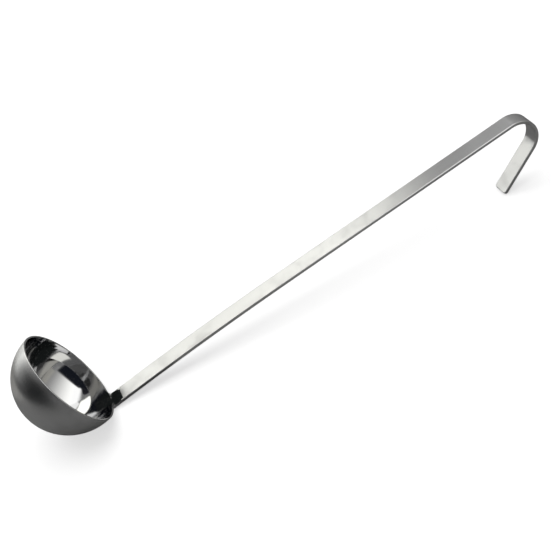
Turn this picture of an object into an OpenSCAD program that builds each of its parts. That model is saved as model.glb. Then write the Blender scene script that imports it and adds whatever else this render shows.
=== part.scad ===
// One-piece stainless steel ladle: a pressed round bowl, a flat strip handle and a hanging hook.
// It lies on its back, on the heel of the neck and the end of the hook. The bowl is at -X and the
// hook at +X, Z is up, and Y = 0 is the plane of symmetry.

/* [Bowl] */
// Outside diameter of the bowl at its rim
bowl_d = 90; // [76:1:110]
// Thickness of the bowl wall
bowl_wall = 1.6; // [1.2:0.1:2.2]

/* [Handle] */
// Width of the strip
strip_w = 15; // [11:0.5:20]
// Thickness of the strip
strip_t = 3; // [2:0.1:3.6]
// Lean of the strip from the axis of the bowl where it leaves the neck, in degrees
strip_lean = 11; // [6:0.5:18]
// Length of the gently bowed lower part of the handle
bowed_len = 170; // [100:1:220]
// Angle that the bowed part turns through, in degrees
bowed_turn = 3.4; // [1:0.1:8]
// Length of the straight upper part of the handle
straight_len = 220; // [120:1:300]

/* [Neck] */
// How far the front face of the strip lies outside the bowl, in the plane of the rim
neck_offset = 1; // [0.6:0.1:2]
// Radius of the fillets between the rim and the sides of the strip
side_fillet = 4; // [2.5:0.5:6]
// Steel left at each side of the channel that leads from the bowl up to the strip
channel_side = 2; // [1.8:0.1:2.6]
// Radius of the floor of that channel, seen from the side
channel_r = 40; // [36:1:42]
// Radius of the heel at the back of the neck, seen from the side
heel_r = 30; // [24:1:33]
// Depth below the plane of the rim at which the heel starts
heel_depth = 4.5; // [2:0.5:7]

/* [Hook] */
// Outside radius of the hook
hook_r = 20; // [14:1:30]
// Angle that the hook turns through, in degrees
hook_turn = 145; // [120:1:165]
// Length of the straight end of the hook
tip_len = 44; // [20:1:60]
// Radius of the two corners of that end
tip_corner = 2.5; // [1:0.5:5]

/* [Hidden] */
smooth = 96;
arc_error = 0.01;
rim_r = bowl_d / 2;
cavity_r = rim_r - bowl_wall;
half_w = strip_w / 2;
through = 4 * strip_t;

// A point in the plane of symmetry is [x, z]: x runs outwards from the axis of the bowl towards
// the handle, and z runs up out of the mouth. A lean of a points along [sin(a), cos(a)].
function along(a) = [sin(a), cos(a)];
function outwards(a) = [cos(a), -sin(a)];
function arc(centre, r, from, to) =
    let (steps = ceil(abs(to - from) / (sqrt(8 * arc_error / abs(r)) * 180 / PI)))
    [for (i = [0:steps]) centre - r * outwards(from + (to - from) * i / steps)];

// Front face of the strip, station by station from the rim to the end of the hook
foot = [rim_r + neck_offset, 0];
bowed_r = bowed_len / bowed_turn * 180 / PI;
bowed_centre = foot + bowed_r * outwards(strip_lean);
upper_lean = strip_lean + bowed_turn;
straight_end = bowed_centre - bowed_r * outwards(upper_lean) + straight_len * along(upper_lean);
hook_centre = straight_end + hook_r * outwards(upper_lean);
tip_lean = upper_lean + hook_turn;
tip_end = hook_centre - hook_r * outwards(tip_lean) + tip_len * along(tip_lean);

// The heel is an arc tangent to the back face of the strip, carried down below the rim
heel_start = foot + strip_t * outwards(strip_lean) - heel_depth / cos(strip_lean) * along(strip_lean);
heel_centre = heel_start - heel_r * outwards(strip_lean);
heel_end_lean = 75;

// The floor of the channel is an arc that meets the front face of the strip at its foot
channel_bend = 5;
channel_depth = 15;
channel_centre = foot - channel_r * outwards(strip_lean + channel_bend);

// The side fillet rolls round the bowl. It bites into it a little, so that their surfaces cross.
fillet_bite = 0.15;
fillet_y = half_w + side_fillet;
fillet_x = sqrt((rim_r + side_fillet - fillet_bite) ^ 2 - fillet_y ^ 2);
neck_half = fillet_y * rim_r / (rim_r + side_fillet);

// Angles that the cutters turn through about the middle of the mouth, below and above the rim
neck_sweep = [80, 110];
channel_sweep = [50, 10];

// At rest a straight floor touches the heel and the end of the hook. It lies square to down.
tip_from_heel = tip_end - heel_centre;
down = atan2(tip_from_heel.y, tip_from_heel.x) - acos(heel_r / norm(tip_from_heel));
floor_drop = tip_end * [cos(down), sin(down)];
reach = hook_centre * [-sin(down), cos(down)] + hook_r;
middle = (reach - rim_r) / 2;

// Side view of the strip with the neck, from the bowl to the end of the hook and back
function side_view() = concat(
    [[heel_centre.x, 0]],
    arc(bowed_centre, bowed_r, strip_lean, upper_lean),
    arc(hook_centre, hook_r, upper_lean, tip_lean),
    [tip_end, tip_end + strip_t * outwards(tip_lean)],
    arc(hook_centre, hook_r - strip_t, tip_lean, upper_lean),
    arc(bowed_centre, bowed_r - strip_t, upper_lean, strip_lean),
    arc(heel_centre, -heel_r, strip_lean, heel_end_lean)
);

// A flat shape in the plane of symmetry, given thickness across the ladle
module across(width) {
    rotate([90, 0, 0]) linear_extrude(width, center = true) children();
}

// A flat shape of [distance, y], turned about the Y axis through the middle of the mouth
module about_y(sweep) {
    rotate([90, 0, 0]) rotate([0, 0, -sweep[0]])
        rotate_extrude(angle = sweep[0] + sweep[1], $fn = smooth) children();
}

// Outline that leaves gap of steel beside the fillets, at one side of the neck
module beside_neck(gap, length) {
    for (side = [-1, 1]) {
        translate([fillet_x, side * fillet_y]) circle(side_fillet + gap, $fn = smooth);
        translate([fillet_x, side * (strip_w - gap) - half_w]) square([length, strip_w]);
    }
}

module half_ball(r) {
    rotate_extrude($fn = smooth) intersection() {
        circle(r, $fn = smooth);
        translate([0, -r]) square([r, r]);
    }
}

// Strip and neck, wide at the bowl and trimmed to the width of the strip above it
module strip_and_neck() {
    difference() {
        across(2 * neck_half) polygon(side_view());
        about_y(neck_sweep) beside_neck(0, 2 * (bowed_len + straight_len));
        tip_corners();
    }
}

module tip_corners() {
    translate([tip_end.x, 0, tip_end.y]) rotate([0, tip_lean + 90, 0])
        linear_extrude(through, center = true)
            for (side = [0, 1]) mirror([0, side]) translate([0, half_w]) corner_waste();
}

module corner_waste() {
    difference() {
        translate([-tip_corner, -tip_corner]) square(2 * tip_corner);
        translate([-tip_corner, -tip_corner]) circle(tip_corner, $fn = 48);
    }
}

// Channel from the bowl up to the foot of the strip
module channel() {
    intersection() {
        about_y(channel_sweep) difference() {
            translate([rim_r - channel_depth, -neck_half]) square([rim_r, 2 * neck_half]);
            beside_neck(channel_side, rim_r);
        }
        across(2 * neck_half) intersection() {
            translate(channel_centre) circle(channel_r, $fn = 3 * smooth);
            translate([0, -rim_r]) square([rim_r * 2, rim_r]);
        }
    }
}

// The ladle as it is made, with the mouth of the bowl facing up
module made_ladle() {
    difference() {
        union() {
            half_ball(rim_r);
            strip_and_neck();
        }
        half_ball(cavity_r);
        channel();
    }
}

// The ladle as it comes to rest
module ladle() {
    color("lightsteelblue")
        translate([-middle, 0, floor_drop]) rotate([0, 90 + down, 0]) made_ladle();
}

ladle();
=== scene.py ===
import math
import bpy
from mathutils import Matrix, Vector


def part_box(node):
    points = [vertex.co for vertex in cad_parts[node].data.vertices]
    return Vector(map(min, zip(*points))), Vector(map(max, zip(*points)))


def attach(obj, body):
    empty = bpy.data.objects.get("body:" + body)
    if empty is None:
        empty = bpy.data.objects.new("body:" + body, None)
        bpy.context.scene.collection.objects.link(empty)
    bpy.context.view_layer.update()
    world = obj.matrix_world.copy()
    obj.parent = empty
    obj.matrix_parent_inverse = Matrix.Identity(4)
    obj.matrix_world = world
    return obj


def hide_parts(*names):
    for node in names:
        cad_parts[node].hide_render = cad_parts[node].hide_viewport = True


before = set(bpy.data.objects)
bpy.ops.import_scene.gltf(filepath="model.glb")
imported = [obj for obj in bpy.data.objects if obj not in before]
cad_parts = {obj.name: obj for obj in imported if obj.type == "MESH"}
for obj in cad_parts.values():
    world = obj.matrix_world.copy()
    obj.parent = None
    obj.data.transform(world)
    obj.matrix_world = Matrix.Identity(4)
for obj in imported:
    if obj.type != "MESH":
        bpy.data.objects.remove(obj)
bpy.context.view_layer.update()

from types import SimpleNamespace

import bpy
import numpy as np
from bpy.props import FloatProperty, FloatVectorProperty, PointerProperty
from mathutils import Matrix, Vector

bl_info = {
    "name": "Soup ladle",
    "version": (1, 0, 0),
    "blender": (4, 5, 0),
    "location": "View3D > Sidebar > Ladle",
    "description": "One-piece steel ladle with a polished bowl and a brushed handle",
    "category": "Object",
}

LOW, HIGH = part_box("ladle")
# The shape is worked out in millimetres, and the meshes are in metres
MM = 0.001


class LadleSizes(bpy.types.PropertyGroup):
    """Sizes of the ladle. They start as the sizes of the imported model."""
    bowl_diameter: FloatProperty(
        name="Bowl diameter", description="Outside diameter of the bowl at its rim",
        default=round(HIGH.y - LOW.y, 3), min=0.07, max=0.12, unit="LENGTH")
    bowl_wall: FloatProperty(
        name="Bowl wall", description="Thickness of the bowl wall",
        default=0.0016, min=0.001, max=0.003, unit="LENGTH")
    lip_radius: FloatProperty(
        name="Lip rounding", description="Rounding of the two corners of the rim",
        default=0.0005, min=0.0002, max=0.0007, unit="LENGTH")
    strip_width: FloatProperty(
        name="Strip width", description="Width of the handle",
        default=0.015, min=0.01, max=0.02, unit="LENGTH")
    strip_thickness: FloatProperty(
        name="Strip thickness", description="Thickness of the handle",
        default=0.003, min=0.002, max=0.004, unit="LENGTH")
    edge_radius: FloatProperty(
        name="Edge rounding", description="Rounding of the long edges of the handle",
        default=0.0007, min=0.0002, max=0.001, unit="LENGTH")
    strip_lean: FloatProperty(
        name="Handle lean", description="Lean of the handle from the axis of the bowl at the neck",
        default=math.radians(11), subtype="ANGLE")
    bowed_length: FloatProperty(
        name="Bowed length", description="Length of the gently bowed lower part of the handle",
        default=0.170, unit="LENGTH")
    bowed_turn: FloatProperty(
        name="Bowed turn", description="Angle that the bowed part turns through",
        default=math.radians(3.4), subtype="ANGLE")
    straight_length: FloatProperty(
        name="Straight length", description="Length of the straight upper part of the handle",
        default=0.220, unit="LENGTH")
    neck_offset: FloatProperty(
        name="Neck offset", description="How far the front of the strip lies outside the bowl",
        default=0.001, unit="LENGTH")
    side_fillet: FloatProperty(
        name="Neck fillet", description="Radius of the fillets at the sides of the neck",
        default=0.0035, unit="LENGTH")
    channel_side: FloatProperty(
        name="Channel side", description="Steel left at each side of the channel in the neck",
        default=0.0015, unit="LENGTH")
    channel_radius: FloatProperty(
        name="Channel radius", description="Radius of the floor of that channel from the side",
        default=0.040, unit="LENGTH")
    heel_radius: FloatProperty(
        name="Heel radius", description="Radius of the heel at the back of the neck",
        default=0.030, unit="LENGTH")
    heel_depth: FloatProperty(
        name="Heel depth", description="Depth below the rim at which the heel starts",
        default=0.0045, unit="LENGTH")
    hook_radius: FloatProperty(
        name="Hook radius", description="Outside radius of the hook",
        default=0.020, unit="LENGTH")
    hook_turn: FloatProperty(
        name="Hook turn", description="Angle that the hook turns through",
        default=math.radians(145), subtype="ANGLE")
    tip_length: FloatProperty(
        name="Tip length", description="Length of the straight end of the hook",
        default=0.044, unit="LENGTH")
    tip_corner: FloatProperty(
        name="Tip corner", description="Radius of the two corners at the end of the hook",
        default=0.0025, unit="LENGTH")
    polish_height: FloatProperty(
        name="Polish height", description="How far the polish of the bowl runs up the neck",
        default=0.0088, unit="LENGTH")


class LadleFinish(bpy.types.PropertyGroup):
    """Colours and finish of the steel."""
    steel: FloatVectorProperty(
        name="Satin steel", description="Colour of the satin steel", subtype="COLOR", size=4,
        default=(0.64, 0.64, 0.645, 1.0), min=0.0, max=1.0)
    mirror: FloatVectorProperty(
        name="Polished steel", description="Colour of the polished steel", subtype="COLOR",
        size=4, default=(0.56, 0.56, 0.565, 1.0), min=0.0, max=1.0)
    polished_roughness: FloatProperty(
        name="Polished roughness", description="Roughness inside the bowl",
        default=0.06, min=0.0, max=1.0, subtype="FACTOR")
    satin_roughness: FloatProperty(
        name="Satin roughness", description="Roughness of the handle and the outside of the bowl",
        default=0.30, min=0.0, max=1.0, subtype="FACTOR")


class LadleStage(bpy.types.PropertyGroup):
    """Floor, lights and camera."""
    paper: FloatVectorProperty(
        name="Paper", description="Colour of the floor", subtype="COLOR", size=4,
        default=(0.82, 0.82, 0.82, 1.0), min=0.0, max=1.0)
    room: FloatProperty(
        name="Room light", description="Strength of the soft light from all round",
        default=0.33, min=0.0)
    focal_length: FloatProperty(
        name="Focal length", description="Focal length of the camera",
        default=64.53, unit="CAMERA")


# The sizes that are angles. All the others are lengths.
ANGLES = ("strip_lean", "bowed_turn", "hook_turn")

# Angle between the floor of the channel and the front of the strip, where they meet
CHANNEL_BEND = math.radians(5)

# Below this drop from the rim the strip runs on inwards, to this far inside the bowl wall
INNER_END_DROP = 0.3
INNER_END_REACH = 4

# The fillet at each side of the neck is small at the rim and grows over the first depth to the
# size that is set. Over the second range of depths it loses a share of that growth.
RIM_FILLET = 1.3
FILLET_GROWN_AT = 3
FILLET_SHRINKS = (8, 16)
FILLET_LOSS = 0.7

# Rounding of the two long inside corners of the channel, and of its opening into the bowl
CHANNEL_CORNER = 2.5
CHANNEL_MOUTH = 2.2

# Distance over which a slope is measured, and the least length that is divided by
PROBE = 0.004
TINY = 1e-9

# Heights up the ladle over which the bowl gives way to the handle, and at which the neck ends
BOWL_FADES = (0.0, 3.0)
NECK_TOP = 14
# Points closer than this to the plane of symmetry lie in it
MIDDLE_BAND = 1e-4
# Least distance from the axis of the bowl at which a direction round it is found
POLE_SIZE = 1e-3


def along(lean):
    """Direction up the strip as (x, z), where it leans by an angle."""
    return np.array([math.sin(lean), math.cos(lean)])


def outwards(lean):
    """Direction from the front of the strip to its back as (x, z)."""
    return np.array([math.cos(lean), -math.sin(lean)])


def ladle_outline(sizes):
    """Sizes in millimetres, and the points of the side view that follow from them.

    They are for the ladle as it is made. The middle of the mouth is the origin, the mouth faces
    up, the handle is at +x, and a point of the side view is (x, z).
    """
    lengths = [key for key in LadleSizes.__annotations__ if key not in ANGLES]
    g = SimpleNamespace(**{key: getattr(sizes, key) / MM for key in lengths})
    g.lean, g.bowed_turn, g.hook_turn = (getattr(sizes, key) for key in ANGLES)
    g.rim = g.bowl_diameter / 2
    g.cavity = g.rim - g.bowl_wall
    g.half_width = g.strip_width / 2
    g.foot = np.array([g.rim + g.neck_offset, 0.0])
    g.bowed_radius = g.bowed_length / g.bowed_turn
    g.bowed_centre = g.foot + g.bowed_radius * outwards(g.lean)
    g.upper_lean = g.lean + g.bowed_turn
    g.straight_end = (g.bowed_centre - g.bowed_radius * outwards(g.upper_lean)
                      + g.straight_length * along(g.upper_lean))
    g.hook_centre = g.straight_end + g.hook_radius * outwards(g.upper_lean)
    g.tip_lean = g.upper_lean + g.hook_turn
    g.tip_end = (g.hook_centre - g.hook_radius * outwards(g.tip_lean)
                 + g.tip_length * along(g.tip_lean))
    g.heel_start = (g.foot + g.strip_thickness * outwards(g.lean)
                    - g.heel_depth / math.cos(g.lean) * along(g.lean))
    g.heel_centre = g.heel_start - g.heel_radius * outwards(g.lean)
    g.channel_centre = g.foot - g.channel_radius * outwards(g.lean + CHANNEL_BEND)
    # At rest a straight floor touches the heel and the end of the hook
    to_tip = g.tip_end - g.heel_centre
    g.down = math.atan2(to_tip[1], to_tip[0]) - math.acos(g.heel_radius / np.linalg.norm(to_tip))
    g.floor_drop = g.tip_end @ np.array([math.cos(g.down), math.sin(g.down)])
    reach = g.hook_centre @ np.array([-math.sin(g.down), math.cos(g.down)]) + g.hook_radius
    g.middle = (reach - g.rim) / 2
    return g


def lay_down(g, points, move=True):
    """Turns points or directions from the way the ladle is made to the way that it lies."""
    tilt = math.pi / 2 + g.down
    c, s = math.cos(tilt), math.sin(tilt)
    turned = np.stack([points[:, 0] * c + points[:, 2] * s, points[:, 1],
                       -points[:, 0] * s + points[:, 2] * c], axis=1)
    return turned + np.array([-g.middle, 0.0, g.floor_drop]) if move else turned


def both(a, b, r):
    """Depth inside both of two solids, with the edge between them rounded."""
    rounded = np.hypot(np.maximum(a + r, 0), np.maximum(b + r, 0))
    return np.minimum(-r, np.maximum(a, b)) + rounded


def either(a, b, r):
    """Depth inside one of two solids, with a fillet between them."""
    rounded = np.hypot(np.maximum(r - a, 0), np.maximum(r - b, 0))
    return np.maximum(r, np.minimum(a, b)) - rounded


def ramp(x, start, end):
    """Goes smoothly from 0 at the start to 1 at the end."""
    t = np.clip((x - start) / (end - start), 0, 1)
    return t * t * (3 - 2 * t)


def steel_depth(g, p):
    """Distance from the surface of bowl and neck, negative in the steel. Points are [..., 3]."""
    x, y, z = p[..., 0], np.abs(p[..., 1]), p[..., 2]
    from_middle = np.sqrt(x * x + y * y + z * z)
    ball = both(from_middle - g.rim, z, g.lip_radius)

    bowed = np.hypot(x - g.bowed_centre[0], z - g.bowed_centre[1])
    inner_end = np.maximum(z + INNER_END_DROP, g.cavity - INNER_END_REACH - x)
    front = np.minimum(bowed - g.bowed_radius, inner_end)
    heel = np.hypot(x - g.heel_centre[0], z - g.heel_centre[1]) - g.heel_radius
    above_heel = ((x - g.heel_start[0]) * math.sin(g.lean)
                  + (z - g.heel_start[1]) * math.cos(g.lean))
    back = np.where(above_heel < 0, heel, g.bowed_radius - g.strip_thickness - bowed)
    strip = both(np.maximum(front, back), y - g.half_width, g.edge_radius)

    grown = ramp(-z, 0, FILLET_GROWN_AT)
    kept = 1 - FILLET_LOSS * ramp(-z, *FILLET_SHRINKS)
    body = either(ball, strip, RIM_FILLET + (g.side_fillet - RIM_FILLET) * grown * kept)

    channel = np.hypot(x - g.channel_centre[0], z - g.channel_centre[1]) - g.channel_radius
    scoop = both(channel, y - (g.half_width - g.channel_side), CHANNEL_CORNER)
    hollow = either(from_middle - g.cavity, scoop, CHANNEL_MOUTH)
    return both(body, -hollow, g.lip_radius)


def slope(field, p):
    """Gradient of a field at points [..., n], by differences."""
    out = np.empty_like(p)
    for i in range(p.shape[-1]):
        d = np.zeros(p.shape[-1])
        d[i] = PROBE
        out[..., i] = (field(p + d) - field(p - d)) / (2 * PROBE)
    return out


def settle(field, p, times=6):
    """Moves points onto the surface of a field."""
    for _ in range(times):
        n = slope(field, p)
        p = p - (field(p) / np.maximum((n * n).sum(-1), TINY))[..., None] * n
    return p


def walk(field, start, step, count):
    """Follows the outline of each 2D field from its start, first towards +y.

    Returns the points of each step, [count + 1, n, 2].
    """
    heading = np.array([0.0, 1.0])
    p = settle(field, start, times=4)
    track = [p]
    for _ in range(count):
        n = slope(field, p)
        t = np.stack([-n[:, 1], n[:, 0]], axis=1)
        t /= np.maximum(np.linalg.norm(t, axis=1), TINY)[:, None]
        t *= np.where((t * heading).sum(1) < 0, -1.0, 1.0)[:, None]
        p = settle(field, p + step * t, times=2)
        heading = t
        track.append(p)
    return np.array(track)


def run_of(track):
    """Distance along each track of points [count, n, 2]."""
    steps = np.linalg.norm(np.diff(track, axis=0), axis=2)
    return np.concatenate([np.zeros((1, track.shape[1])), np.cumsum(steps, axis=0)])


def pick(track, run, at):
    """Points of one track [count, d] at the given distances along it."""
    return np.stack([np.interp(at, run, track[:, i]) for i in range(track.shape[1])], axis=1)


# Columns of the mesh, for half of the ladle: across the front of the strip, over the lip or the
# side of the strip, across the back of the strip, and round the bowl near the neck and beyond
FRONT_COLUMNS = 14
BAND_COLUMNS = 7
BACK_COLUMNS = 20
NEAR_COLUMNS = 14
FAR_COLUMNS = 66
# Azimuth at which the near columns end, seen from the middle of the mouth
NEAR_AZIMUTH = math.radians(20)

# The top row of the bowl lies this far below the rim. The other rows are at these angles below
# it, in degrees seen from the middle of the mouth. The neck reaches down to NECK_DEPTH.
TOP_ROW_DROP = 0.62
ROW_ANGLES = (
    1.6, 2.5, 3.5, 4.6, 5.8, 7.1, 8.5, 10, 11.6, 13.3, 15.1, 17, 19, 21.1, 23.3, 25.5, 27.8, 30.1,
    32.5, 35, 37.5, 40, 42.5, 45, 47.5, 50, 52.5, 55, 57.5, 60, 62.5, 65, 67.5, 70, 72.5, 75,
    77.5, 80, 82.5, 85, 87.5)
NECK_DEPTH = math.radians(42)
# Distance from the middle at which the columns across the neck end, in the top row of each side
INSIDE_CORNER = 7.0
OUTSIDE_CORNER = 7.85

# Where a row of the bowl and a ring of the neck are looked for: how far inside the cavity or the
# front of the strip, how far outside the rim or that front, and in what steps
ROW_SEARCH = (3, 8, 0.05)
RING_SEARCH = (2, 5, 0.02)
# Step in millimetres and number of steps that follow a row of the bowl, the lip and a neck ring
ROW_WALK = (0.1, 260)
LIP_WALK = (0.05, 110)
RING_WALK = (0.05, 420)
# First steps of such a walk, in which it can't have come to its end yet
LIP_SKIPPED = 12
RING_SKIPPED = 60

# Points along each flat and each rounding of an outline of the strip
FLAT_POINTS = 160
ROUND_POINTS = 14
# The front columns of the strip end this far inside its side
FRONT_INSET = 0.55
# Heights above the rim of the rings round the neck, and of the first ring of the plain strip
NECK_HEIGHTS = (
    0.45, 0.8, 1.2, 1.7, 2.3, 3.0, 3.8, 4.7, 5.7, 6.8, 7.8, 8.6, 9.0, 10.0, 11.2)
STRIP_START = 13.5
# Shares of the way from the bowl to the first of those rings, at which rings lead over to it
LEADING_SHARES = (0.25, 0.5, 0.75)
# Rings along the bowed part, the straight part, the hook and the plain part of the tip
BOWED_RINGS = 26
STRAIGHT_RINGS = 18
HOOK_RINGS = 61
TIP_RINGS = 8
# Distances from the end of the strip of the rings round its corners
CORNER_RINGS = (
    2.2, 1.9, 1.6, 1.3, 1.05, 0.85, 0.66, 0.5, 0.38, 0.27, 0.18, 0.1, 0.04, 0.0)
# A ring that is well away from the end counts as this far from it
FAR_FROM_END = 99
# Size of the ring inside the end face, as a share of the ring round it
END_FACE_SHARE = 0.85


def bowl_rows(g, inside):
    """Rows of points down the inside or outside of the bowl, each from the neck to the far side.

    Beside the neck a row follows the cut of its surface with a cone. Returns the rows and the
    lowest point of the bowl.
    """
    radius = g.cavity if inside else g.rim
    angles = np.concatenate([[math.asin(TOP_ROW_DROP / radius)], np.radians(ROW_ANGLES)])
    near = angles[angles < NECK_DEPTH]
    down = np.sin(near)[:, None]
    level = np.cos(near)[:, None]

    def lift(q):
        depth = -down * np.linalg.norm(q, axis=1, keepdims=True)
        return np.concatenate([q * level, depth], axis=1)

    before, after, step = ROW_SEARCH
    reach = np.arange(g.cavity - before, g.rim + after, step)
    start = []
    for i in range(len(near)):
        line = np.stack([reach * level[i], 0 * reach, -reach * down[i]], axis=1)
        steel = np.nonzero(steel_depth(g, line) < 0)[0]
        start.append([reach[steel[0] if inside else steel[-1]], 0.0])
    track = walk(lambda q: steel_depth(g, lift(q)), np.array(start), *ROW_WALK)
    azimuth = np.arctan2(track[..., 1], track[..., 0])
    run = run_of(track)

    rows = []
    share = None
    columns = FRONT_COLUMNS if inside else BACK_COLUMNS
    corner = INSIDE_CORNER if inside else OUTSIDE_CORNER
    for i in range(len(near)):
        end = np.argmax(azimuth[:, i] > NEAR_AZIMUTH)
        total = np.interp(NEAR_AZIMUTH, azimuth[end - 1:end + 1, i], run[end - 1:end + 1, i])
        if share is None:
            # The top row sets the shares of the run that the columns take in every row
            turn = np.argmax(track[:, i, 1] * level[i] > corner)
            split = run[turn, i] / total
            share = np.concatenate([np.linspace(0, split, columns + 1),
                                    np.linspace(split, 1, NEAR_COLUMNS + 1)[1:]])
        q = pick(track[:, i], run[:, i], share * total)
        size = np.linalg.norm(q, axis=1)
        rows.append(np.concatenate([q * level[i], -down[i] * size[:, None]], axis=1))

    far = np.linspace(NEAR_AZIMUTH, math.pi, FAR_COLUMNS + 1)[1:]
    flat = np.stack([np.cos(far), np.sin(far)], axis=1)
    grid = []
    for i, a in enumerate(angles):
        if i < len(near):
            head = rows[i]
        else:
            head = radius * np.array(
                [[math.cos(a) * math.cos(s), math.cos(a) * math.sin(s), -math.sin(a)]
                 for s in share * NEAR_AZIMUTH])
        low = np.full((len(far), 1), -radius * math.sin(a))
        tail = np.concatenate([radius * math.cos(a) * flat, low], axis=1)
        grid.append(np.concatenate([head, tail]))
    return np.array(grid), np.array([0.0, 0.0, -radius])


def lip_columns(g, inner, outer):
    """Points over the lip, from each point of the inner row to its fellow in the outer row."""
    up = np.array([0, 0, 1.0])
    across = outer - inner
    across[:, 2] = 0
    across /= np.linalg.norm(across, axis=1)[:, None]

    def lift(q):
        return inner + across * q[:, :1] + up * q[:, 1:]

    track = walk(lambda q: steel_depth(g, lift(q)), np.zeros((len(inner), 2)), *LIP_WALK)
    run = run_of(track)
    numbers = np.arange(1, BAND_COLUMNS + 1)
    lip = []
    for i in range(len(inner)):
        target = np.array([(outer[i] - inner[i]) @ across[i], outer[i, 2] - inner[i, 2]])
        away = np.linalg.norm(track[:, i] - target, axis=1)
        away[:LIP_SKIPPED] = np.inf
        end = run[np.argmin(away), i]
        q = pick(track[:, i], run[:, i], end * numbers / (BAND_COLUMNS + 1))
        lip.append(inner[i] + across[i] * q[:, :1] + up * q[:, 1:])
    return np.array(lip)


def ring_shares(g, outline):
    """Takes the columns from half an outline of the strip, [n, (out, y)], front to back."""
    steps = np.linalg.norm(np.diff(outline, axis=0), axis=1)
    run = np.concatenate([[0], np.cumsum(steps)])
    edge = run[np.argmax(outline[:, 1] > outline[:, 1].max() - FRONT_INSET)]
    past_middle = outline[:, 0] > outline[0, 0] + g.strip_thickness / 2
    side = run[np.argmax(past_middle & (run > edge))]
    at = np.concatenate([np.linspace(0, edge, FRONT_COLUMNS + 1),
                         np.linspace(edge, side, BAND_COLUMNS + 2)[1:-1],
                         np.linspace(side, run[-1], BACK_COLUMNS + 1)])
    return pick(outline, run, at)


def neck_rings(g):
    """Half rings round the strip just above the rim, cut level."""
    before, after, step = RING_SEARCH
    reach = np.arange(g.foot[0] - before, g.foot[0] + after, step)
    line = np.stack([reach, 0 * reach], axis=1)
    rings = []
    for z in NECK_HEIGHTS:
        def field(q, z=z):
            return steel_depth(g, np.concatenate([q, np.full((len(q), 1), z)], axis=1))
        first = reach[np.nonzero(field(line) < 0)[0][0]]
        track = walk(field, np.array([[first, 0.0]]), *RING_WALK)[:, 0]
        end = RING_SKIPPED + np.argmax(track[RING_SKIPPED:, 1] < 0)
        track = track[:end + 1]
        track[-1, 1] = 0.0
        q = ring_shares(g, track)
        rings.append(np.concatenate([q, np.full((len(q), 1), z)], axis=1))
    return rings


def strip_stations(g):
    """Where the rings of the plain strip go: points of its front in side view, and its lean."""
    stations = []
    first = STRIP_START / g.bowed_radius / math.cos(g.lean)
    for a in np.linspace(g.lean + first, g.upper_lean, BOWED_RINGS):
        stations.append((g.bowed_centre - g.bowed_radius * outwards(a), a))
    base = stations[-1][0]
    for s in np.linspace(0, g.straight_length, STRAIGHT_RINGS)[1:]:
        stations.append((base + s * along(g.upper_lean), g.upper_lean))
    for a in np.linspace(g.upper_lean, g.tip_lean, HOOK_RINGS)[1:]:
        stations.append((g.hook_centre - g.hook_radius * outwards(a), a))
    base = stations[-1][0]
    for s in np.linspace(0, g.tip_length - g.tip_corner, TIP_RINGS)[1:]:
        stations.append((base + s * along(g.tip_lean), g.tip_lean))
    for u in CORNER_RINGS:
        stations.append((base + (g.tip_length - u) * along(g.tip_lean), g.tip_lean))
    return stations


def half_section(g):
    """Half an outline of the strip, [n, (out, y)], from the middle of its front to its back."""
    r, t, w = g.edge_radius, g.strip_thickness, g.half_width
    flat = FLAT_POINTS
    bend = np.linspace(0, math.pi / 2, ROUND_POINTS)
    return np.concatenate([
        np.stack([np.zeros(flat), np.linspace(0, w - r, flat)], axis=1),
        np.stack([r - r * np.cos(bend), w - r + r * np.sin(bend)], axis=1)[1:],
        np.stack([np.linspace(r, t - r, flat), np.full(flat, w)], axis=1)[1:],
        np.stack([t - r + r * np.sin(bend), w - r + r * np.cos(bend)], axis=1)[1:],
        np.stack([np.full(flat, t), np.linspace(w - r, 0, flat)], axis=1)[1:]])


def end_depth(g, p):
    """Distance from the surface of the end of the strip. Points are [from the end, y, out]."""
    plan = both(-p[..., 0], np.abs(p[..., 1]) - g.half_width, g.tip_corner)
    half = g.strip_thickness / 2
    return both(plan, np.abs(p[..., 2] - half) - half, g.edge_radius)


def draw_in(g, ring, left):
    """Draws a ring in to the rounded end of the strip. Points are [from the end, y, out]."""
    r, half, w, corner = g.edge_radius, g.strip_thickness / 2, g.half_width, g.tip_corner
    inset = corner - math.sqrt(max(corner ** 2 - (corner - left) ** 2, 0))
    thin = r - math.sqrt(max(r * r - max(r - left, 0) ** 2, 0))
    ring[:, 1] *= (w - inset - thin) / w
    ring[:, 2] = half + (ring[:, 2] - half) * (half - thin) / half
    if left > 0:
        for _ in range(6):
            n = slope(lambda v: end_depth(g, v), ring)
            n[:, 0] = 0
            ring = ring - (end_depth(g, ring) / np.maximum((n * n).sum(1), 1e-6))[:, None] * n
    return ring


def strip_rings(g):
    """Half rings along the plain strip with their normals. The last lies inside the end face."""
    half = ring_shares(g, half_section(g))
    rings, normals = [], []
    for point, a in strip_stations(g):
        left = FAR_FROM_END
        if a == g.tip_lean:
            left = np.clip((g.tip_end - point) @ along(g.tip_lean), 0, FAR_FROM_END)
        local = np.stack([np.full(len(half), float(left)), half[:, 1], half[:, 0]], axis=1)
        if left < g.tip_corner:
            local = draw_in(g, local, left)
        n = slope(lambda v: end_depth(g, v), local)
        n /= np.linalg.norm(n, axis=1)[:, None]
        out, up = outwards(a), along(a)
        place = point + local[:, 2:] * out
        rings.append(np.stack([place[:, 0], local[:, 1], place[:, 1]], axis=1))
        flat = n[:, 2:] * out - n[:, :1] * up
        normals.append(np.stack([flat[:, 0], n[:, 1], flat[:, 1]], axis=1))
    middle = g.tip_end + g.strip_thickness / 2 * outwards(g.tip_lean)
    centre = np.array([middle[0], 0.0, middle[1]])
    rings.append(centre + (rings[-1] - centre) * END_FACE_SHARE)
    up = along(g.tip_lean)
    normals.append(np.tile([up[0], 0.0, up[1]], (len(half), 1)))
    return rings, normals


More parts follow.
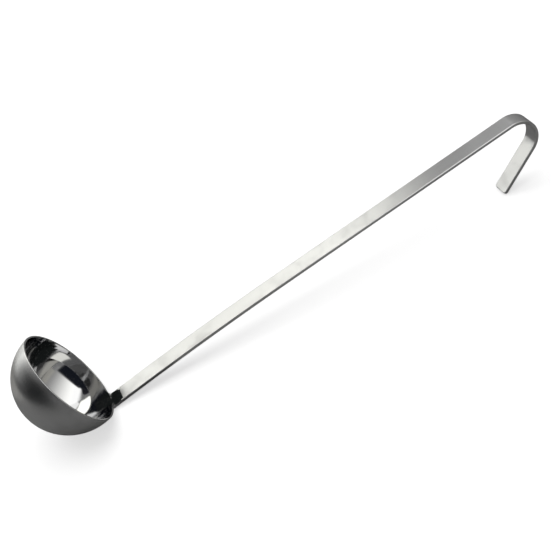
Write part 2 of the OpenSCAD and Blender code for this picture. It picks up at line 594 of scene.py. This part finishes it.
class MeshMaker:
    """Gathers the points and faces of one half of the ladle and mirrors them.

    Height is the distance up the ladle from the rim, along the handle.
    """

    def __init__(self):
        self.points, self.faces, self.normals = [], [], []
        self.polish, self.height = [], []

    def add(self, points, polish, normals=None, height=None):
        """Adds a row of points and returns their numbers. Their height is z unless it is given."""
        count, first = len(points), len(self.points)
        self.points.extend(np.asarray(points, float))
        self.normals.extend([None] * count if normals is None else normals)
        self.polish.extend(polish if np.ndim(polish) else [polish] * count)
        self.height.extend(np.asarray(points)[:, 2] if height is None else [height] * count)
        return np.arange(first, first + count)

    def skin(self, upper, lower, turn):
        """Adds the faces between two rows of the same length."""
        for a, b, c, d in zip(upper[:-1], upper[1:], lower[1:], lower[:-1]):
            self.faces.append((a, b, c, d) if turn else (d, c, b, a))

    def fan(self, row, tip, turn):
        """Adds the faces between a row and one point."""
        for a, b in zip(row[:-1], row[1:]):
            self.faces.append((a, b, tip) if turn else (b, a, tip))

    def mirrored(self, g):
        """Points, faces, normals and marks of both halves, joined along the middle."""
        points = np.array(self.points)
        normals = np.zeros_like(points)
        bare = [i for i, n in enumerate(self.normals) if n is None]
        given = [i for i, n in enumerate(self.normals) if n is not None]
        normals[bare] = slope(lambda p: steel_depth(g, p), points[bare])
        normals[given] = np.array([self.normals[i] for i in given])
        middle = np.abs(points[:, 1]) < MIDDLE_BAND
        points[middle, 1] = 0
        normals[middle, 1] = 0
        normals /= np.linalg.norm(normals, axis=1)[:, None]

        other = np.arange(len(points))
        twins = np.nonzero(~middle)[0]
        other[twins] = len(points) + np.arange(len(twins))
        flip = np.array([1, -1, 1])
        faces = [tuple(int(i) for i in f) for f in self.faces]
        faces += [tuple(int(other[i]) for i in reversed(f)) for f in self.faces]
        marks = self.marks(g, points)
        twin_marks = {name: values[twins] for name, values in marks.items()}
        # The grain is turned round as well, so that it points one way over the middle
        twin_marks["grain"] = twin_marks["grain"] * -flip
        return (np.concatenate([points, points[twins] * flip]), faces,
                np.concatenate([normals, normals[twins] * flip]),
                {name: np.concatenate([marks[name], twin_marks[name]]) for name in marks})

    def marks(self, g, points):
        """What the steel reads at each point.

        Polish and bowl are shares. Spun is (round the bowl, down it) and brushed is (along the
        handle, across it), both in millimetres. Grain is the direction of the tangent: round
        the bowl, and across the handle.
        """
        x, y, z = points.T
        height = np.array(self.height)
        # In the neck, brushed also counts the distance from the front of the strip
        in_neck = height < NECK_TOP
        across = y + np.abs(x - g.foot[0] - z * math.tan(g.lean)) * in_neck
        angle_down = np.arcsin(np.clip(-z / g.rim, -1, 1))
        bowl = 1 - ramp(height, *BOWL_FADES)
        size = np.maximum(np.hypot(x, y), POLE_SIZE)
        round_bowl = np.stack([-y / size, x / size, 0 * x])
        over_strip = np.stack([0 * x, 1 + 0 * x, 0 * x])
        return {
            "polish": np.array(self.polish),
            "bowl": bowl,
            "spun": np.stack([np.arctan2(y, x) * g.rim, angle_down * g.rim, 0 * x], axis=1),
            "brushed": np.stack([height, across, 0 * x], axis=1),
            "grain": (bowl * round_bowl + (1 - bowl) * over_strip).T}


def ladle_mesh(g):
    """Points, faces, normals and marks of the whole ladle as it is made."""
    make = MeshMaker()
    inner, inner_pole = bowl_rows(g, True)
    outer, outer_pole = bowl_rows(g, False)
    inner_rows = [make.add(row, 1.0) for row in inner]
    outer_rows = [make.add(row, 0.0) for row in outer]
    for rows, pole, inside in ((inner_rows, inner_pole, True), (outer_rows, outer_pole, False)):
        for a, b in zip(rows[:-1], rows[1:]):
            make.skin(a, b, inside)
        make.fan(rows[-1], make.add([pole], float(inside))[0], inside)

    lip = lip_columns(g, inner[0][FRONT_COLUMNS:], outer[0][BACK_COLUMNS:])
    polish = 1 - np.arange(1, BAND_COLUMNS + 1) / (BAND_COLUMNS + 1)
    bands = []
    for i, points in enumerate(lip):
        bands.append(np.concatenate([[inner_rows[0][FRONT_COLUMNS + i]], make.add(points, polish),
                                     [outer_rows[0][BACK_COLUMNS + i]]]))
    for a, b in zip(bands[:-1], bands[1:]):
        make.skin(a, b, True)

    # The neck grows from the top rows of the bowl on each side of the first band
    base = np.concatenate([inner_rows[0][:FRONT_COLUMNS], bands[0],
                           outer_rows[0][:BACK_COLUMNS][::-1]])
    base_points = np.array([make.points[i] for i in base])
    rings = neck_rings(g)
    leading = [settle(lambda p: steel_depth(g, p), base_points + (rings[0] - base_points) * t)
               for t in LEADING_SHARES]
    front = np.concatenate([np.ones(FRONT_COLUMNS + 1), polish, np.zeros(BACK_COLUMNS + 1)])
    last = base
    for ring in leading + rings:
        row = make.add(ring, front * (ring[:, 2].max() < g.polish_height))
        make.skin(row, last, True)
        last = row

    height, middle = STRIP_START, None
    for ring, normal in zip(*strip_rings(g)):
        if middle is not None:
            height += np.linalg.norm(ring[0] - middle)
        middle = ring[0]
        row = make.add(ring, 0.0, normal, height)
        make.skin(row, last, True)
        last = row
    make.faces.append(tuple(int(i) for i in reversed(last)))
    return make.mirrored(g)


# Sockets of Blender's Mix node, which has a set of them for each kind of data
NUMBER_A, NUMBER_B, NUMBER_OUT = 2, 3, 0
COLOUR_A, COLOUR_B, COLOUR_OUT = 6, 7, 2

# How far the brushed lines and the marks of handling change the roughness of the steel
LINE_CONTRAST = 0.05
SATIN_MARK = 0.10
POLISHED_MARK = 0.03
# Tone of the satin steel in those marks
MARKED_TONE = 0.93
# Strength at which the paper glows to the camera and to mirrors. With its lit colour it comes
# to white.
PAPER_GLOW = 0.6


def node(tree, kind, label="", **values):
    """Adds a node. Values set its properties, or its input sockets where they name one."""
    made = tree.nodes.new(kind)
    made.label = label
    for key, value in values.items():
        if hasattr(made, key):
            setattr(made, key, value)
        else:
            made.inputs[key.replace("_", " ")].default_value = value
    return made


def new_group(name, inputs, outputs):
    """A shader node group with named sockets. Returns it with its input and output nodes."""
    tree = bpy.data.node_groups.new(name, "ShaderNodeTree")
    for label, kind, value in inputs:
        socket = tree.interface.new_socket(name=label, in_out="INPUT", socket_type=kind)
        if value is not None:
            socket.default_value = value
    for label, kind in outputs:
        tree.interface.new_socket(name=label, in_out="OUTPUT", socket_type=kind)
    return tree, tree.nodes.new("NodeGroupInput"), tree.nodes.new("NodeGroupOutput")


def place_group(tree, group, label, **values):
    """Places a node group in a material, with its own values."""
    made = tree.nodes.new("ShaderNodeGroup")
    made.node_tree = group
    made.label = label
    for key, value in values.items():
        made.inputs[key.replace("_", " ")].default_value = value
    return made


def grain_group():
    """Fine lines that a belt or a polishing wheel leaves. Place is (along, across) them."""
    tree, source, result = new_group("Grain lines", [
        ("Place", "NodeSocketVector", None), ("Line length", "NodeSocketFloat", 30.0),
        ("Line spacing", "NodeSocketFloat", 0.15)], [("Lines", "NodeSocketFloat")])
    apart = tree.nodes.new("ShaderNodeSeparateXYZ")
    along_line = node(tree, "ShaderNodeMath", operation="DIVIDE")
    across_line = node(tree, "ShaderNodeMath", operation="DIVIDE")
    joined = tree.nodes.new("ShaderNodeCombineXYZ")
    noise = node(tree, "ShaderNodeTexNoise", "Lines", noise_dimensions="2D", Scale=1.0,
                 Detail=2.0, Roughness=0.6)
    link = tree.links.new
    link(source.outputs["Place"], apart.inputs[0])
    link(apart.outputs["X"], along_line.inputs[0])
    link(source.outputs["Line length"], along_line.inputs[1])
    link(apart.outputs["Y"], across_line.inputs[0])
    link(source.outputs["Line spacing"], across_line.inputs[1])
    link(along_line.outputs[0], joined.inputs["X"])
    link(across_line.outputs[0], joined.inputs["Y"])
    link(joined.outputs[0], noise.inputs["Vector"])
    link(noise.outputs["Fac"], result.inputs["Lines"])
    return tree


def marks_group():
    """Soft cloudy marks of handling and washing. Place is in metres."""
    tree, source, result = new_group("Handling marks", [
        ("Place", "NodeSocketVector", None), ("Mark size", "NodeSocketFloat", 0.02),
        ("Threshold", "NodeSocketFloat", 0.5)], [("Marks", "NodeSocketFloat")])
    scale = node(tree, "ShaderNodeMath", operation="DIVIDE")
    scale.inputs[0].default_value = 1.0
    noise = node(tree, "ShaderNodeTexNoise", "Cloud", Detail=3.0, Roughness=0.55,
                 Distortion=0.4)
    spread = node(tree, "ShaderNodeMapRange", "Spread", interpolation_type="SMOOTHSTEP")
    spread.inputs["From Max"].default_value = 0.8
    link = tree.links.new
    link(source.outputs["Mark size"], scale.inputs[1])
    link(source.outputs["Place"], noise.inputs["Vector"])
    link(scale.outputs[0], noise.inputs["Scale"])
    link(noise.outputs["Fac"], spread.inputs["Value"])
    link(source.outputs["Threshold"], spread.inputs["From Min"])
    link(spread.outputs["Result"], result.inputs["Marks"])
    return tree


def new_material(name):
    """A material with no nodes yet. Returns it with its node tree."""
    material = bpy.data.materials.new(name)
    material.use_nodes = True
    material.node_tree.nodes.clear()
    return material, material.node_tree


def blend_of(tree, mask, low, high, label=""):
    """A number that goes from low to high with a mask. Low and high are numbers or sockets."""
    made = node(tree, "ShaderNodeMix", label, data_type="FLOAT")
    tree.links.new(mask, made.inputs["Factor"])
    for value, socket in ((low, made.inputs[NUMBER_A]), (high, made.inputs[NUMBER_B])):
        if isinstance(value, (int, float)):
            socket.default_value = value
        else:
            tree.links.new(value, socket)
    return made.outputs[NUMBER_OUT]


def steel_material(finish, grain, marks):
    """Stainless steel, mirror polished inside the bowl and satin elsewhere."""
    material, tree = new_material("Stainless steel")
    link = tree.links.new
    masks = {}
    for name in ("polish", "bowl", "spun", "brushed", "grain"):
        masks[name] = node(tree, "ShaderNodeAttribute", name, attribute_name=name)
    polish, bowl = masks["polish"].outputs["Fac"], masks["bowl"].outputs["Fac"]
    coords = tree.nodes.new("ShaderNodeTexCoord")

    brushed = place_group(tree, grain, "Brushed handle", Line_length=28.0, Line_spacing=0.16)
    link(masks["brushed"].outputs["Vector"], brushed.inputs["Place"])
    spun = place_group(tree, grain, "Spun bowl", Line_length=22.0, Line_spacing=0.22)
    link(masks["spun"].outputs["Vector"], spun.inputs["Place"])
    lines = blend_of(tree, bowl, brushed.outputs["Lines"], spun.outputs["Lines"], "Lines")
    cloud = place_group(tree, marks, "Marks", Mark_size=0.016, Threshold=0.45)
    link(coords.outputs["Object"], cloud.inputs["Place"])
    marked = cloud.outputs["Marks"]

    satin = blend_of(tree, lines, finish.satin_roughness - LINE_CONTRAST,
                     finish.satin_roughness + LINE_CONTRAST, "Satin")
    worn = blend_of(tree, marked, satin, finish.satin_roughness + SATIN_MARK, "Marked satin")
    bright = blend_of(tree, marked, finish.polished_roughness,
                      finish.polished_roughness + POLISHED_MARK, "Polished")
    roughness = blend_of(tree, polish, worn, bright, "Roughness")

    tone = node(tree, "ShaderNodeMix", "Satin tone", data_type="RGBA")
    tone.inputs[COLOUR_A].default_value = finish.steel
    tone.inputs[COLOUR_B].default_value = [c * MARKED_TONE for c in finish.steel[:3]] + [1.0]
    link(marked, tone.inputs["Factor"])
    colour = node(tree, "ShaderNodeMix", "Colour", data_type="RGBA")
    colour.inputs[COLOUR_B].default_value = finish.mirror
    link(polish, colour.inputs["Factor"])
    link(tone.outputs[COLOUR_OUT], colour.inputs[COLOUR_A])

    height = blend_of(tree, polish, lines, 0.5, "Height")
    bump = node(tree, "ShaderNodeBump", "Grain", Strength=0.25, Distance=0.00001)
    link(height, bump.inputs["Height"])

    shader = node(tree, "ShaderNodeBsdfPrincipled", "Steel", Metallic=1.0, Anisotropic=0.85)
    link(masks["grain"].outputs["Vector"], shader.inputs["Tangent"])
    link(colour.outputs[COLOUR_OUT], shader.inputs["Base Color"])
    link(roughness, shader.inputs["Roughness"])
    link(bump.outputs["Normal"], shader.inputs["Normal"])
    output = tree.nodes.new("ShaderNodeOutputMaterial")
    link(shader.outputs["BSDF"], output.inputs["Surface"])
    return material


# Near the ladle the steel sees the painted boards just above this paper, not the paper itself.
def paper_material(stage):
    """Pale paper that shows white to the camera and to mirrors, and still keeps a shadow."""
    material, tree = new_material("Paper")
    link = tree.links.new
    path = tree.nodes.new("ShaderNodeLightPath")
    first = node(tree, "ShaderNodeMath", operation="MAXIMUM")
    seen = node(tree, "ShaderNodeMath", operation="MAXIMUM")
    link(path.outputs["Is Camera Ray"], first.inputs[0])
    link(path.outputs["Is Glossy Ray"], first.inputs[1])
    link(first.outputs[0], seen.inputs[0])
    link(path.outputs["Is Transmission Ray"], seen.inputs[1])
    paper = node(tree, "ShaderNodeBsdfDiffuse", "Paper", Color=stage.paper)
    glow = node(tree, "ShaderNodeEmission", "White to the camera", Strength=PAPER_GLOW)
    glow.inputs["Color"].default_value = (1, 1, 1, 1)
    none = node(tree, "ShaderNodeEmission", "Nothing", Strength=0.0)
    pick_glow = tree.nodes.new("ShaderNodeMixShader")
    both_shown = tree.nodes.new("ShaderNodeAddShader")
    output = tree.nodes.new("ShaderNodeOutputMaterial")
    link(seen.outputs[0], pick_glow.inputs[0])
    link(none.outputs[0], pick_glow.inputs[1])
    link(glow.outputs[0], pick_glow.inputs[2])
    link(paper.outputs[0], both_shown.inputs[0])
    link(pick_glow.outputs[0], both_shown.inputs[1])
    link(both_shown.outputs[0], output.inputs["Surface"])
    return material


class LADLE_OT_body(bpy.types.Operator):
    """Makes the ladle: bowl, neck, handle and hook in one closed mesh"""
    bl_idname = "ladle.body"
    bl_label = "Ladle"

    def execute(self, context):
        g = ladle_outline(context.scene.ladle_sizes)
        points, faces, normals, marks = ladle_mesh(g)
        mesh = bpy.data.meshes.new("ladle_steel")
        mesh.from_pydata((lay_down(g, points) * MM).tolist(), [], faces)
        if mesh.validate():
            raise RuntimeError("the mesh of the ladle has faults")
        mesh.shade_smooth()
        mesh.normals_split_custom_set_from_vertices(lay_down(g, normals, move=False).tolist())
        marks["grain"] = lay_down(g, marks["grain"], move=False)
        for name, values in marks.items():
            if values.ndim == 1:
                mark = mesh.attributes.new(name, "FLOAT", "POINT")
                mark.data.foreach_set("value", values)
            else:
                mark = mesh.attributes.new(name, "FLOAT_VECTOR", "POINT")
                mark.data.foreach_set("vector", values.ravel())
        piece = bpy.data.objects.new("ladle_steel", mesh)
        context.scene.collection.objects.link(piece)
        mesh.materials.append(
            steel_material(context.scene.ladle_finish, grain_group(), marks_group()))
        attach(piece, "root")
        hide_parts("ladle")
        return {"FINISHED"}


# Middle of the bowl as it lies, which the panels are placed round
BOWL_PLACE = Vector((-0.190, 0.0, 0.047))
# Where the camera of the photograph stands, and its right, up and backward axes
CAMERA_PLACE = (-0.088658, -0.595596, 0.557312)
CAMERA_AXES = ((0.874519, -0.379098, -0.302493), (0.474808, 0.542077, 0.693332),
               (-0.098867, -0.749958, 0.654055))
# Half the width of the floor, and its height, which leaves room for the boards above it
FLOOR_HALF = 20.0
FLOOR_HEIGHT = -0.0001
# Faces along each side of a card, which its fading needs
CARD_STEPS = 32

# Glowing panels and dark cards that stand round the ladle, seen only by the steel. The panels are
# painted reflections: they put bright highlights into the steel and light nothing else. The cards
# put painted dark reflections into it. Each has a distance from the bowl, its corners as (azimuth,
# elevation) in degrees, a colour, and the shares of its width and height over which it fades at
# the left, right, bottom and top.
PANELS = {
    "panel_right": (1.5, ((-78, -1), (16, -1), (20, 60), (-84, 60)),
        (1.82, 1.82, 1.76), (0.11, 0.15, 0.95, 0)),
    "panel_top": (1.6, ((-98, 50), (24, 50), (70, 83), (-101, 83)),
        (1.75, 1.75, 1.72), (0.06, 0.05, 0, 0.5)),
    "panel_back": (0.95, ((57, 26), (142, 22), (142, 78), (52, 78)),
        (2.08, 2.08, 1.94), (0.06, 0.06, 0.12, 0.1)),
    "panel_far": (2.5, ((2, 48), (54, 48), (54, 74), (2, 74)),
        (1.45, 1.45, 1.43), (0.05, 0.1, 0.15, 0.15)),
    "panel_left": (1.3, ((92, -3), (145, -3), (145, 30), (92, 30)),
        (1.6, 1.61, 1.54), (0.3, 0.3, 0.1, 0.3)),
    "panel_low": (1.4, ((-64, -2), (-20, -2), (-20, 14), (-64, 14)),
        (0.44, 0.43, 0.39), (0.1, 0.3, 0.0, 0.5)),
    "card_front": (1.2, ((-122, 6), (-63, 9), (-84, 72), (-190, 66)),
        (0.012, 0.014, 0.020), (0, 0.12, 0.08, 0.12)),
    "card_left": (1.25, ((-212, -4), (-125, -6), (-120, 36), (-210, 36)),
        (0.008, 0.009, 0.010), (0.25, 0.25, 0.15, 0.3)),
    "card_top": (1.3, ((-190, 60), (-104, 60), (-100, 88), (-200, 88)),
        (0.02, 0.02, 0.025), (0.1, 0.06, 0.1, 0.15)),
}

# Level boards just above the floor, and small dark cards above the neck, all seen only by the
# steel.
# They are painted reflections of the floor: the steel sees them in place of the white paper, and
# the plain board paints that floor grey, lit by the lamps with the ladle's shadows on it. Each has
# a height, its corners as (x, y), a colour, its fading as above, and whether it glows.
BOARDS = {
    "board": (-0.00005, ((-6, -6), (6, -6), (6, 6), (-6, 6)),
        (0.30, 0.30, 0.295), (0, 0, 0, 0), False),
    # Painted reflection: a glowing pale patch of floor in front of the ladle, for the steel alone.
    "board_front": (-0.00003, ((-0.30, -0.95), (0.60, -0.95), (0.10, -0.05), (-0.18, -0.05)),
        (0.50, 0.49, 0.45), (0.15, 0.2, 0.0, 0.07), True),
    # Painted dark reflection: a black strip of floor running out from the neck, so that the
    # polished neck shows dark.
    "board_neck": (-0.00002,
        ((-0.172, -0.035), (-0.145, -0.035), (-0.100, -0.800), (-0.135, -0.800)),
        (0.02, 0.02, 0.02), (0.15, 0.15, 0.02, 0.1), False),
    # Painted shadow: a dark patch where the ladle's shadow falls under the neck and handle, seen
    # only in the steel.
    "board_shade": (-0.00001,
        ((-0.178, -0.064), (-0.115, -0.064), (-0.100, 0.050), (-0.175, 0.050)),
        (0.08, 0.08, 0.08), (0.15, 0.15, 0.08, 0.3), False),
    # card_neck, card_fold and card_channel are painted dark reflections: near-black cards over the
    # neck that only the steel sees, so that the neck and its channel show black.
    "card_neck": (0.034, ((-0.190, 0.016), (-0.169, 0.016), (-0.1846, 0.046), (-0.190, 0.046)),
        (0.012, 0.014, 0.014), (0.06, 0.06, 0.06, 0.06), True),
    "card_fold": (0.0085,
        ((-0.179, -0.010), (-0.1672, -0.010), (-0.1672, 0.0085), (-0.179, 0.0085)),
        (0.012, 0.014, 0.014), (0.04, 0.04, 0.04, 0.04), True),
    "card_channel": (0.013,
        ((-0.196, -0.018), (-0.1695, -0.018), (-0.1695, 0.0125), (-0.1895, 0.0125)),
        (0.012, 0.014, 0.014), (0.04, 0.04, 0.04, 0.03), True),
    # Painted reflection: a lit pale patch of floor beyond the bowl, away from the handle, seen
    # only in the steel.
    "board_left": (-0.00003, ((-0.90, 0.10), (-0.265, 0.06), (-0.23, 0.25), (-0.60, 0.90)),
        (0.62, 0.61, 0.58), (0.1, 0.1, 0.1, 0.1), False),
}


def seen_from_bowl(distance, directions):
    """Places at a distance from the bowl in directions given as (azimuth, elevation)."""
    places = []
    for azimuth, elevation in directions:
        a, e = math.radians(azimuth), math.radians(elevation)
        places.append(BOWL_PLACE + distance * Vector(
            (math.cos(e) * math.cos(a), math.cos(e) * math.sin(a), math.sin(e))))
    return places


def sheet_mesh(name, corners, fade):
    """A sheet between four corners, with a mark that fades out towards its sides."""
    u = np.linspace(0, 1, CARD_STEPS + 1)
    a, b, c, d = (np.array(corner) for corner in corners)
    grid = [((1 - s) * (1 - t) * a + s * (1 - t) * b + s * t * c + (1 - s) * t * d).tolist()
            for t in u for s in u]
    sides = []
    for near, far in (fade[:2], fade[2:]):
        shown = np.ones(len(u))
        if near:
            shown = shown * ramp(u, 0, near)
        if far:
            shown = shown * ramp(1 - u, 0, far)
        sides.append(shown)
    row = len(u)
    corners_of = [i + j * row for j in range(CARD_STEPS) for i in range(CARD_STEPS)]
    mesh = bpy.data.meshes.new(name)
    mesh.from_pydata(grid, [], [(k, k + 1, k + 1 + row, k + row) for k in corners_of])
    mark = mesh.attributes.new("shown", "FLOAT", "POINT")
    mark.data.foreach_set("value", np.outer(sides[1], sides[0]).ravel())
    return mesh


def card_material(name, colour, glows):
    """A plain card with soft sides. It glows evenly, or is lit by the lamps."""
    material, tree = new_material(name)
    link = tree.links.new
    kind = "ShaderNodeEmission" if glows else "ShaderNodeBsdfDiffuse"
    face = node(tree, kind, "Face", Color=(*colour, 1.0))
    clear = tree.nodes.new("ShaderNodeBsdfTransparent")
    shown = node(tree, "ShaderNodeAttribute", "shown", attribute_name="shown")
    mixed = tree.nodes.new("ShaderNodeMixShader")
    output = tree.nodes.new("ShaderNodeOutputMaterial")
    link(shown.outputs["Fac"], mixed.inputs[0])
    link(clear.outputs[0], mixed.inputs[1])
    link(face.outputs[0], mixed.inputs[2])
    link(mixed.outputs[0], output.inputs["Surface"])
    return material


def card(context, name, corners, colour, fade, glows=True):
    """A card on the stage that only the steel sees. It puts painted light or dark into the steel's
    reflections alone.
    """
    mesh = sheet_mesh(name, corners, fade)
    mesh.materials.append(card_material(name, colour, glows))
    piece = bpy.data.objects.new(name, mesh)
    context.scene.collection.objects.link(piece)
    piece.visible_camera = piece.visible_diffuse = False
    piece.visible_shadow = piece.visible_transmission = False


def soft_box(context, name, place, size, brightness, target):
    """A rectangular soft light. Its brightness is that of its face, where 1 is white."""
    light = bpy.data.lights.new(name, "AREA")
    light.shape = "RECTANGLE"
    light.size, light.size_y = size
    light.energy = brightness * math.pi * size[0] * size[1]
    holder = bpy.data.objects.new(name, light)
    context.scene.collection.objects.link(holder)
    holder.location = place
    aim = Vector(target) - Vector(place)
    holder.rotation_euler = aim.to_track_quat("-Z", "Y").to_euler()
    holder.visible_camera = holder.visible_glossy = False


class LADLE_OT_stage(bpy.types.Operator):
    """Makes the pale floor, the soft studio light, the panels and cards that paint the steel's
    reflections, and the camera
    """
    bl_idname = "ladle.stage"
    bl_label = "Stage"

    def execute(self, context):
        scene, stage = context.scene, context.scene.ladle_stage
        half = FLOOR_HALF
        mesh = bpy.data.meshes.new("floor")
        mesh.from_pydata([(-half, -half, 0), (half, -half, 0), (half, half, 0),
                          (-half, half, 0)], [], [(0, 1, 2, 3)])
        floor = bpy.data.objects.new("floor", mesh)
        floor.location.z = FLOOR_HEIGHT
        scene.collection.objects.link(floor)
        mesh.materials.append(paper_material(stage))

        world = bpy.data.worlds.new("Studio")
        scene.world = world
        world.use_nodes = True
        tree = world.node_tree
        tree.nodes.clear()
        room = node(tree, "ShaderNodeBackground", "Room", Strength=stage.room)
        output = tree.nodes.new("ShaderNodeOutputWorld")
        tree.links.new(room.outputs[0], output.inputs["Surface"])

        soft_box(context, "overhead", place=(-0.1, 0.3, 1.5), size=(2.0, 1.6), brightness=1.3,
                 target=(-0.1, 0.1, 0.0))
        for name, (distance, directions, colour, fade) in PANELS.items():
            card(context, name, seen_from_bowl(distance, directions), colour, fade)
        for name, (height, corners, colour, fade, glows) in BOARDS.items():
            card(context, name, [(x, y, height) for x, y in corners], colour, fade, glows)

        camera = bpy.data.cameras.new("camera")
        camera.lens = stage.focal_length
        camera.sensor_width = 36.0
        camera.clip_start, camera.clip_end = 0.05, 30.0
        eye = bpy.data.objects.new("camera", camera)
        scene.collection.objects.link(eye)
        eye.matrix_world = Matrix(CAMERA_AXES).transposed().to_4x4()
        eye.location = CAMERA_PLACE
        scene.camera = eye
        scene.view_settings.view_transform = "Standard"
        return {"FINISHED"}


class LADLE_PT_panel(bpy.types.Panel):
    """Sizes, finish and parts of the ladle"""
    bl_idname = "LADLE_PT_panel"
    bl_label = "Ladle"
    bl_space_type = "VIEW_3D"
    bl_region_type = "UI"
    bl_category = "Ladle"

    def draw(self, context):
        layout, scene = self.layout, context.scene
        for group in (scene.ladle_sizes, scene.ladle_finish, scene.ladle_stage):
            box = layout.box()
            for key in group.__annotations__:
                box.prop(group, key)
        for operator in (LADLE_OT_body, LADLE_OT_stage):
            layout.operator(operator.bl_idname)


CLASSES = (LadleSizes, LadleFinish, LadleStage, LADLE_OT_body, LADLE_OT_stage, LADLE_PT_panel)


def register():
    for cls in CLASSES:
        bpy.utils.register_class(cls)
    bpy.types.Scene.ladle_sizes = PointerProperty(type=LadleSizes)
    bpy.types.Scene.ladle_finish = PointerProperty(type=LadleFinish)
    bpy.types.Scene.ladle_stage = PointerProperty(type=LadleStage)


def unregister():
    for name in ("ladle_sizes", "ladle_finish", "ladle_stage"):
        delattr(bpy.types.Scene, name)
    for cls in reversed(CLASSES):
        bpy.utils.unregister_class(cls)


def main():
    register()
    bpy.ops.ladle.body()
    bpy.ops.ladle.stage()


if __name__ == "__main__":
    main()
